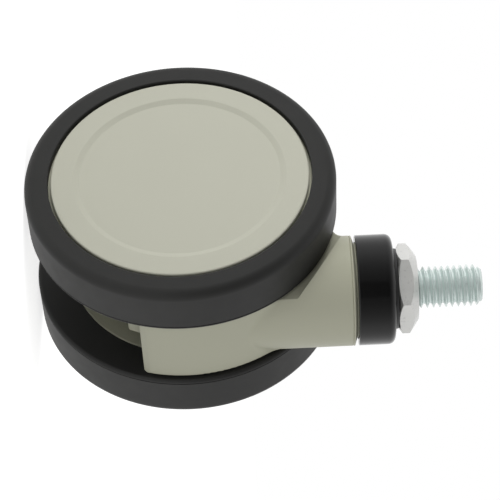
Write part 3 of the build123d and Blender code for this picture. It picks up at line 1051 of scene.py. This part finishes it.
@dataclass(frozen=True)
class Wheel:
    """One wheel: a soft tyre on a ribbed centre, closed by a snap-in cap.

    Distances along the axle are measured from the castor's mid-plane.
    """

    hand: Hand
    inner_face: float = 10.0
    outer_face: float = 22.7
    tread_radius: float = 37.5
    shoulder: float = 2.2
    inner_shoulder: float = 0.9
    parting_width: float = 0.24
    parting_depth: float = 0.2
    seat_radius: float = 31.7
    seat_edge: float = 0.3
    lip_radius: float = 28.75
    lip_width: float = 2.5
    lock_depth: float = 1.3
    lock_start: float = 15.0
    lock_end: float = 18.0
    seat_gap: float = 0.01
    cap_radius: float = 31.06
    cap_face: float = 22.45
    cap_back: float = 20.85
    cap_edge: float = 0.45
    cap_border: float = 5.46
    dish_slope: float = 1.4
    dish_depth: float = 0.5
    dish_blend: float = 0.7
    disc_face: float = 13.0
    disc_edge: float = 0.4
    rim_bore: float = 28.9
    hub_radius: float = 13.5
    bearing_radius: float = 11.01
    bearing_in: float = 12.0
    bearing_out: float = 19.0
    spoke_count: int = 15
    rib_thickness: float = 1.6
    rib_end: float = 18.95
    stop_ring_width: float = 1.4
    segment_count: int = 6
    segment_gap: float = 6.0
    segment_thickness: float = 1.2
    segment_length: float = 1.5
    segment_play: float = 0.35
    centre_bore: float = 7.0
    step_bore: float = 9.6
    step_depth: float = 0.8
    stop_radius: float = 11.0
    stop_edge: float = 0.15
    lip_edge: float = 0.15
    moulded_edge: float = 0.2
    parting_land: float = 0.02
    rib_sink: float = 0.5
    cap_sink: float = 0.3

    @property
    def side(self) -> int:
        """+1 for the wheel towards +Y and -1 for the other."""
        return 1 if self.hand is Hand.LEFT else -1

    def axis(self) -> TurningAxis:
        """Gives the axle line, from the mid-plane outwards."""
        low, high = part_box(f"tyre_{self.hand}")
        middle = (low + high) / 2
        return TurningAxis(Vector((middle.x, 0.0, middle.z)), Vector((0.0, float(self.side), 0.0)))

    def tyre(self) -> bmesh.types.BMesh:
        """Turns the tyre, with its parting line beside the inner shoulder."""
        line = self.inner_face + self.inner_shoulder
        floor = self.tread_radius - self.parting_depth
        lock = self.seat_radius - self.lock_depth
        return turned([
            Corner(self.inner_face, self.lip_radius, self.lip_edge),
            Corner(self.inner_face, self.tread_radius, self.inner_shoulder - self.parting_land),
            Corner(line, self.tread_radius), Corner(line, floor),
            Corner(line + self.parting_width, floor), Corner(line + self.parting_width, self.tread_radius),
            Corner(self.outer_face, self.tread_radius, self.shoulder),
            Corner(self.outer_face, self.seat_radius, self.seat_edge),
            Corner(self.lock_end, self.seat_radius), Corner(self.lock_end, lock),
            Corner(self.lock_start, lock), Corner(self.lock_start, self.seat_radius),
            Corner(self.inner_face + self.lip_width, self.seat_radius),
            Corner(self.inner_face + self.lip_width, self.lip_radius)], segments=256)

    def centre(self, material: bpy.types.Material) -> bmesh.types.BMesh:
        """Turns the wheel centre and stands its ribs in it.

        Args:
            material: The finish of the ribs.

        Returns:
            The centre.
        """
        rim = self.seat_radius - self.seat_gap
        lock = rim - self.lock_depth
        disc = self.lip_radius - self.seat_gap
        relief = self.bearing_in - self.step_depth
        edge = self.moulded_edge
        shell = turned([
            Corner(self.inner_face, self.centre_bore, edge), Corner(self.inner_face, disc, self.disc_edge),
            Corner(self.inner_face + self.lip_width, disc), Corner(self.inner_face + self.lip_width, rim),
            Corner(self.lock_start, rim), Corner(self.lock_start, lock), Corner(self.lock_end, lock),
            Corner(self.lock_end, rim), Corner(self.cap_back, rim), Corner(self.cap_back, self.rim_bore),
            Corner(self.disc_face, self.rim_bore, self.disc_edge),
            Corner(self.disc_face, self.hub_radius, self.disc_edge),
            Corner(self.bearing_out, self.hub_radius, edge),
            Corner(self.bearing_out, self.bearing_radius, edge),
            Corner(self.bearing_in, self.bearing_radius), Corner(self.bearing_in, self.step_bore),
            Corner(relief, self.step_bore), Corner(relief, self.centre_bore)])
        root = self.disc_face - self.rib_sink
        spokes = spoke_ribs(self.spoke_count, self.hub_radius - self.rib_sink,
                            self.rim_bore + self.rib_sink, self.rib_thickness, root, self.rib_end,
                            material)
        middle, half = (self.hub_radius + self.rim_bore) / 2, self.rib_thickness / 2
        ring = turned([Corner(root, middle - half), Corner(root, middle + half),
                       Corner(self.rib_end, middle + half, edge),
                       Corner(self.rib_end, middle - half, edge)], segments=128)
        return joined([shell, spokes, ring])

    def cap(self, material: bpy.types.Material) -> bmesh.types.BMesh:
        """Turns the cap, with its dished middle, bearing stop ring and snap-in segments.

        Args:
            material: The finish of the segments.

        Returns:
            The cap.
        """
        dish = self.cap_radius - self.cap_border
        dish_face = self.cap_face - self.dish_depth
        sunk = self.cap_back + self.cap_sink
        plate = turned([
            Corner(self.cap_back, 0.0), Corner(self.cap_back, self.cap_radius, self.moulded_edge),
            Corner(self.cap_face, self.cap_radius, self.cap_edge),
            Corner(self.cap_face, dish, self.dish_blend),
            Corner(dish_face, dish - self.dish_slope, self.dish_blend), Corner(dish_face, 0.0)],
            segments=256, closed=False)
        stop = turned([
            Corner(self.bearing_out, self.step_bore, self.stop_edge),
            Corner(self.bearing_out, self.stop_radius, self.stop_edge), Corner(sunk, self.stop_radius),
            Corner(sunk, self.stop_radius - self.stop_ring_width)], segments=96)
        wall = self.rim_bore - self.segment_play - self.segment_thickness / 2
        segments = ring_segments(self.segment_count, wall, self.segment_gap, self.segment_thickness,
                                 self.cap_back - self.segment_length, sunk, material)
        return joined([plate, stop, segments])

    def build(self, fitter: Fitter) -> None:
        """Builds the wheel's pieces and dresses its bearing and clip.

        Args:
            fitter: Ties pieces to the frame.
        """
        place = self.axis().placement()
        hand = self.hand
        fitter.fit(mesh_object(f"soft_tyre_{hand}", self.tyre(), place), f"tyre_{hand}")
        centre = self.centre(fitter.finish_of(f"wheel_centre_{hand}"))
        fitter.fit(mesh_object(f"ribbed_centre_{hand}", centre, place), f"wheel_centre_{hand}")
        cap = self.cap(fitter.finish_of(f"wheel_cap_{hand}"))
        fitter.fit(mesh_object(f"dished_cap_{hand}", cap, place, sharp_angle=40.0), f"wheel_cap_{hand}")
        for part in ("inner_ring", "outer_ring", "balls", "cage"):
            fitter.dress(f"wheel_bearing_{hand}_{part}")
        fitter.dress(f"axle_spacer_{hand}")
        fitter.dress(f"axle_clip_{hand}")


@dataclass(frozen=True)
class Housing:
    """The moulded hood, web and neck, with the cone-topped ring on the neck's end."""

    edge: float = 0.16
    neck_radius: float = 13.3
    spigot_radius: float = 11.41
    neck_end: float = -15.85
    ring_rim: float = 0.4
    ring_cone: float = 0.6
    ring_edge: float = 0.1
    seam: float = 0.18

    def build(self, fitter: Fitter) -> None:
        """Builds the housing and its ring.

        Args:
            fitter: Ties pieces to the frame.
        """
        fitter.fit(refined_copy(fitter.nodes["housing"], "moulded_housing", self.edge), "housing")
        top = self.neck_end + self.ring_rim
        ring = turned([
            Corner(self.neck_end, self.spigot_radius), Corner(self.neck_end, self.neck_radius, self.seam),
            Corner(top, self.neck_radius, self.ring_edge),
            Corner(top + self.ring_cone, self.spigot_radius)])
        fitter.fit(mesh_object("cone_ring", ring), "neck_ring")
        fitter.dress("lower_bush")


@dataclass(frozen=True)
class StemStack:
    """Collar, washer and lock nut on the stem, from the housing up."""

    collar_radius: float = 13.3
    collar_top: float = -5.7
    collar_bottom: float = -14.55
    collar_edge: float = 1.7
    collar_foot: float = 0.25
    collar_bore: float = 11.8
    flange_radius: float = 8.61
    flange_top: float = -7.3
    flange_bottom: float = -9.3
    shank_radius: float = 4.81
    washer_radius: float = 9.7
    washer_bore: float = 6.44
    washer_top: float = -4.8
    washer_edge: float = 0.15
    washer_bore_edge: float = 0.05
    bore_edge: float = 0.1
    collar_root: float = 0.2
    nut_edge: float = 0.15

    def build(self, fitter: Fitter) -> None:
        """Builds the three pieces.

        Args:
            fitter: Ties pieces to the frame.
        """
        collar = turned([
            Corner(self.collar_top, self.shank_radius, self.bore_edge),
            Corner(self.collar_top, self.collar_radius, self.collar_edge),
            Corner(self.collar_bottom, self.collar_radius, self.collar_foot),
            Corner(self.collar_bottom, self.collar_bore, self.bore_edge),
            Corner(self.flange_bottom, self.collar_bore, self.collar_root),
            Corner(self.flange_bottom, self.flange_radius), Corner(self.flange_top, self.flange_radius),
            Corner(self.flange_top, self.shank_radius)], segments=224)
        fitter.fit(mesh_object("gloss_collar", collar), "collar")
        washer = turned([
            Corner(self.collar_top, self.washer_bore, self.washer_bore_edge),
            Corner(self.collar_top, self.washer_radius, self.washer_edge),
            Corner(self.washer_top, self.washer_radius, self.washer_edge),
            Corner(self.washer_top, self.washer_bore, self.washer_bore_edge)])
        fitter.fit(mesh_object("flat_washer", washer), "stem_washer")
        nut = refined_copy(fitter.nodes["lock_nut"], "hexagon_nut", self.nut_edge, segments=4)
        fitter.fit(nut, "lock_nut")


@dataclass(frozen=True)
class Stem:
    """The stem: a rolled thread above a turned shank, flange and journals."""

    thread: ThreadForm = ThreadForm()
    shank_radius: float = 4.8
    shank_top: float = -1.2
    flange_radius: float = 8.6
    flange_top: float = -7.3
    flange_bottom: float = -9.3
    shoulder_radius: float = 6.2
    spigot_top: float = -9.8
    journal_radius: float = 5.0
    tail_radius: float = 4.0
    clip_height: float = 0.8
    clip_groove: float = 0.55
    clip_play: float = 0.1
    tail_chamfer: float = 0.4
    journal_play: float = 1.0
    edge: float = 0.1

    def build(self, fitter: Fitter) -> None:
        """Builds the stem and dresses the bearing and clip on it.

        Args:
            fitter: Ties pieces to the frame.
        """
        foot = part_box("threaded_stem")[0].z / MM
        bush_low, bush_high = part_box("lower_bush")
        bush_bottom, bush_top = bush_low.z / MM, bush_high.z / MM
        clip_top = bush_bottom - self.clip_play
        clip_bottom = clip_top - self.clip_height
        groove = self.tail_radius - self.clip_groove
        shaft = turned([
            Corner(self.shank_top, 0.0), Corner(self.shank_top, self.shank_radius, self.edge),
            Corner(self.flange_top, self.shank_radius, self.edge),
            Corner(self.flange_top, self.flange_radius, self.edge),
            Corner(self.flange_bottom, self.flange_radius, self.edge),
            Corner(self.flange_bottom, self.shoulder_radius),
            Corner(self.spigot_top, self.shoulder_radius), Corner(self.spigot_top, self.journal_radius),
            Corner(bush_top + self.journal_play, self.journal_radius), Corner(bush_top, self.tail_radius),
            Corner(clip_top, self.tail_radius), Corner(clip_top, groove), Corner(clip_bottom, groove),
            Corner(clip_bottom, self.tail_radius), Corner(foot + self.tail_chamfer, self.tail_radius),
            Corner(foot, self.tail_radius - self.tail_chamfer), Corner(foot, 0.0)],
            segments=128, closed=False)
        rod = self.thread.form(fitter.finish_of("threaded_stem"))
        stem = mesh_object("rolled_thread_stem", joined([shaft, rod]), sharp_angle=50.0)
        fitter.fit(stem, "threaded_stem")
        for node in ("swivel_inner_ring", "swivel_outer_ring", "swivel_balls", "swivel_cage",
                     "stem_clip", "axle"):
            fitter.dress(node)


def castor_finishes() -> list[MouldedFinish | PlatedFinish]:
    """Gives the finish of each material slot."""
    low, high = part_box("tyre_left")
    axle = ((low.x + high.x) / 2, 0.0, (low.z + high.z) / 2)
    return [
        # housing_grey and cap_grey are one grey-beige plastic given two shades: the cap's lighter grey is
        # painted light, standing in for the stronger light on the cap faces.
        MouldedFinish("housing_grey", (0.42, 0.42, 0.325), gloss=0.46),
        MouldedFinish("cap_grey", (0.475, 0.475, 0.395), gloss=0.42, drift=0.04),
        RubberFinish("tyre_black", (0.016, 0.016, 0.0152), gloss=0.5, axle=axle,
                     scuff_colour=(0.045, 0.045, 0.042)),
        MouldedFinish("collar_black", (0.004, 0.004, 0.004), gloss=0.14, gloss_spread=0.03, drift=0.1,
                      grain_height=0.000001, scuff=0.03, scuff_colour=(0.03, 0.03, 0.03), specular=0.32),
        MouldedFinish("washer_black", (0.01, 0.01, 0.01), gloss=0.4, drift=0.2, scuff=0.2,
                      scuff_colour=(0.05, 0.05, 0.05)),
        PlatedFinish("nut_plated", (0.68, 0.68, 0.66), gloss=0.22, cloud=0.06, metallic=0.4),
        PlatedFinish("stem_zinc", (0.69, 0.77, 0.75), gloss=0.2, cloud=0.06, cloud_scale=500.0,
                     mark_height=0.000002, metallic=0.4),
        PlatedFinish("bearing_steel", (0.56, 0.57, 0.58), gloss=0.16, gloss_spread=0.05),
        MouldedFinish("cage_nylon", (0.55, 0.50, 0.38), gloss=0.4),
        MouldedFinish("bush_polymer", (0.70, 0.69, 0.64), gloss=0.35),
        PlatedFinish("clip_steel", (0.16, 0.16, 0.17), gloss=0.36),
        PlatedFinish("axle_steel", (0.46, 0.47, 0.48), gloss=0.24, gloss_spread=0.08),
    ]


# --- Studio -------------------------------------------------------------------------------


@dataclass(frozen=True)
class SoftBox:
    """A rectangular lamp that faces the object."""

    name: str
    place: tuple[float, float, float]
    width: float
    height: float
    power: float
    in_reflections: bool = True


@dataclass(frozen=True)
class Studio:
    """Camera, white surround, lamps and floor."""

    camera_place: tuple[float, float, float] = (0.31824, -0.39141, -0.03738)
    camera_aim: tuple[float, float, float] = (-0.01430, 0.0, -0.03976)
    camera_roll: float = 87.364
    lens: float = 150.39
    sensor_width: float = 36.0
    clip: tuple[float, float] = (0.01, 50.0)
    floor_half: float = 6.0
    floor_colour: tuple[float, float, float, float] = (0.85, 0.85, 0.84, 1.0)
    floor_glow: float = 0.75
    surround_diffuse: float = 0.46
    surround_front: float = 0.2
    front_gap: float = 0.12
    surround_back: float = 1.0
    front: tuple[float, float, float] = (0.63, -0.775, 0.0)
    front_spread: tuple[float, float] = (0.1, 0.9)
    gap_spread: tuple[float, float] = (0.93, 0.975)
    boxes: tuple[SoftBox, ...] = (
        SoftBox("key_box", (-0.5, -0.65, 0.06), 0.5, 0.28, 3.9, in_reflections=False),
        SoftBox("fill_box", (0.9, 0.1, 0.1), 0.8, 0.8, 2.8, in_reflections=False))

    def camera(self) -> None:
        """Makes the camera."""
        data = bpy.data.cameras.new("camera")
        data.lens = self.lens
        data.sensor_width = self.sensor_width
        data.clip_start, data.clip_end = self.clip
        camera = bpy.data.objects.new("camera", data)
        place, aim = Vector(self.camera_place), Vector(self.camera_aim)
        turn = (aim - place).to_track_quat("-Z", "Y")
        roll = Quaternion((0.0, 0.0, 1.0), math.radians(self.camera_roll))
        camera.matrix_world = Matrix.Translation(place) @ (turn @ roll).to_matrix().to_4x4()
        bpy.context.scene.collection.objects.link(camera)
        bpy.context.scene.camera = camera

    def surround(self) -> None:
        """Makes the world: white behind the object, even light, and a darker front in reflections."""
        world = bpy.data.worlds.new("surround")
        bpy.context.scene.world = world
        world.use_nodes = True
        world.node_tree.nodes.clear()
        graph = Graph(world.node_tree)
        rays = graph.add("ShaderNodeLightPath").outputs
        direction = graph.add("ShaderNodeTexCoord").outputs["Generated"]
        facing = graph.add("ShaderNodeVectorMath", operation="DOT_PRODUCT")
        graph.feed(facing.inputs[0], direction)
        facing.inputs[1].default_value = self.front
        reflected = graph.ramp(facing.outputs["Value"], *self.front_spread, self.surround_back,
                               self.surround_front)
        gap = graph.ramp(facing.outputs["Value"], *self.gap_spread, 1.0, self.front_gap, "SMOOTHSTEP")
        reflected = graph.math("MULTIPLY", reflected, gap)
        seen = graph.math("MAXIMUM", rays["Is Camera Ray"], rays["Is Transmission Ray"])
        level = graph.math("ADD", graph.math("MULTIPLY", rays["Is Glossy Ray"], reflected),
                           graph.math("MULTIPLY", graph.math("SUBTRACT", 1.0, rays["Is Glossy Ray"]),
                                      self.surround_diffuse))
        strength = graph.math("MAXIMUM", level, seen)
        background = graph.add("ShaderNodeBackground")
        background.inputs["Color"].default_value = (1.0, 1.0, 1.0, 1.0)
        graph.feed(background.inputs["Strength"], strength)
        graph.feed(graph.add("ShaderNodeOutputWorld").inputs["Surface"], background.outputs[0])

    def floor(self) -> None:
        """Makes the pale floor under the tyres, which keeps a faint shadow."""
        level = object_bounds()[0].z
        form = bmesh.new()
        bmesh.ops.create_grid(form, x_segments=1, y_segments=1, size=self.floor_half)
        bmesh.ops.translate(form, verts=form.verts, vec=(0.0, 0.0, level))
        floor = mesh_object("floor", form)
        material = bpy.data.materials.new("floor_white")
        material.use_nodes = True
        material.node_tree.nodes.clear()
        graph = Graph(material.node_tree)
        rays = graph.add("ShaderNodeLightPath").outputs
        paper = graph.add("ShaderNodeBsdfDiffuse")
        paper.inputs["Color"].default_value = self.floor_colour
        glow = graph.add("ShaderNodeEmission")
        seen = graph.math("MAXIMUM", rays["Is Camera Ray"], rays["Is Transmission Ray"])
        seen = graph.math("MAXIMUM", seen, rays["Is Glossy Ray"])
        graph.feed(glow.inputs["Strength"], graph.math("MULTIPLY", seen, self.floor_glow))
        both = graph.add("ShaderNodeAddShader")
        graph.feed(both.inputs[0], paper.outputs[0])
        graph.feed(both.inputs[1], glow.outputs[0])
        side = graph.add("ShaderNodeMixShader")
        graph.feed(side.inputs["Fac"], graph.add("ShaderNodeNewGeometry").outputs["Backfacing"])
        graph.feed(side.inputs[1], both.outputs[0])
        graph.feed(side.inputs[2], graph.add("ShaderNodeBsdfTransparent").outputs[0])
        graph.feed(graph.add("ShaderNodeOutputMaterial").inputs["Surface"], side.outputs[0])
        floor.data.materials.append(material)
        floor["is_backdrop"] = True

    def lamps(self, aim: Vector) -> None:
        """Hangs the soft boxes.

        Args:
            aim: The point that they face.
        """
        for box in self.boxes:
            data = bpy.data.lights.new(box.name, "AREA")
            data.shape = "RECTANGLE"
            data.size, data.size_y = box.width, box.height
            data.energy = box.power
            lamp = bpy.data.objects.new(box.name, data)
            place = Vector(box.place)
            turn = (aim - place).to_track_quat("-Z", "Y").to_matrix().to_4x4()
            lamp.matrix_world = Matrix.Translation(place) @ turn
            lamp.visible_glossy = box.in_reflections
            bpy.context.scene.collection.objects.link(lamp)

    def build(self) -> None:
        """Sets the studio round the finished object."""
        low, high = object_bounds()
        self.surround()
        self.floor()
        self.lamps((low + high) / 2)
        self.camera()


def main() -> None:
    """Builds the castor's pieces in order, then the studio."""
    logging.basicConfig(level=logging.INFO, format="%(name)s: %(message)s")
    scene = bpy.context.scene
    for leftover in list(bpy.data.objects):
        bpy.data.objects.remove(leftover)
    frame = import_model()
    fitter = Fitter(frame)
    for finish in castor_finishes():
        fitter.add_finish(finish)
    for hand in Hand:
        Wheel(hand).build(fitter)
    Housing().build(fitter)
    StemStack().build(fitter)
    Stem().build(fitter)
    Studio().build()
    scene.view_settings.view_transform = "Standard"


if __name__ == "__main__":
    main()
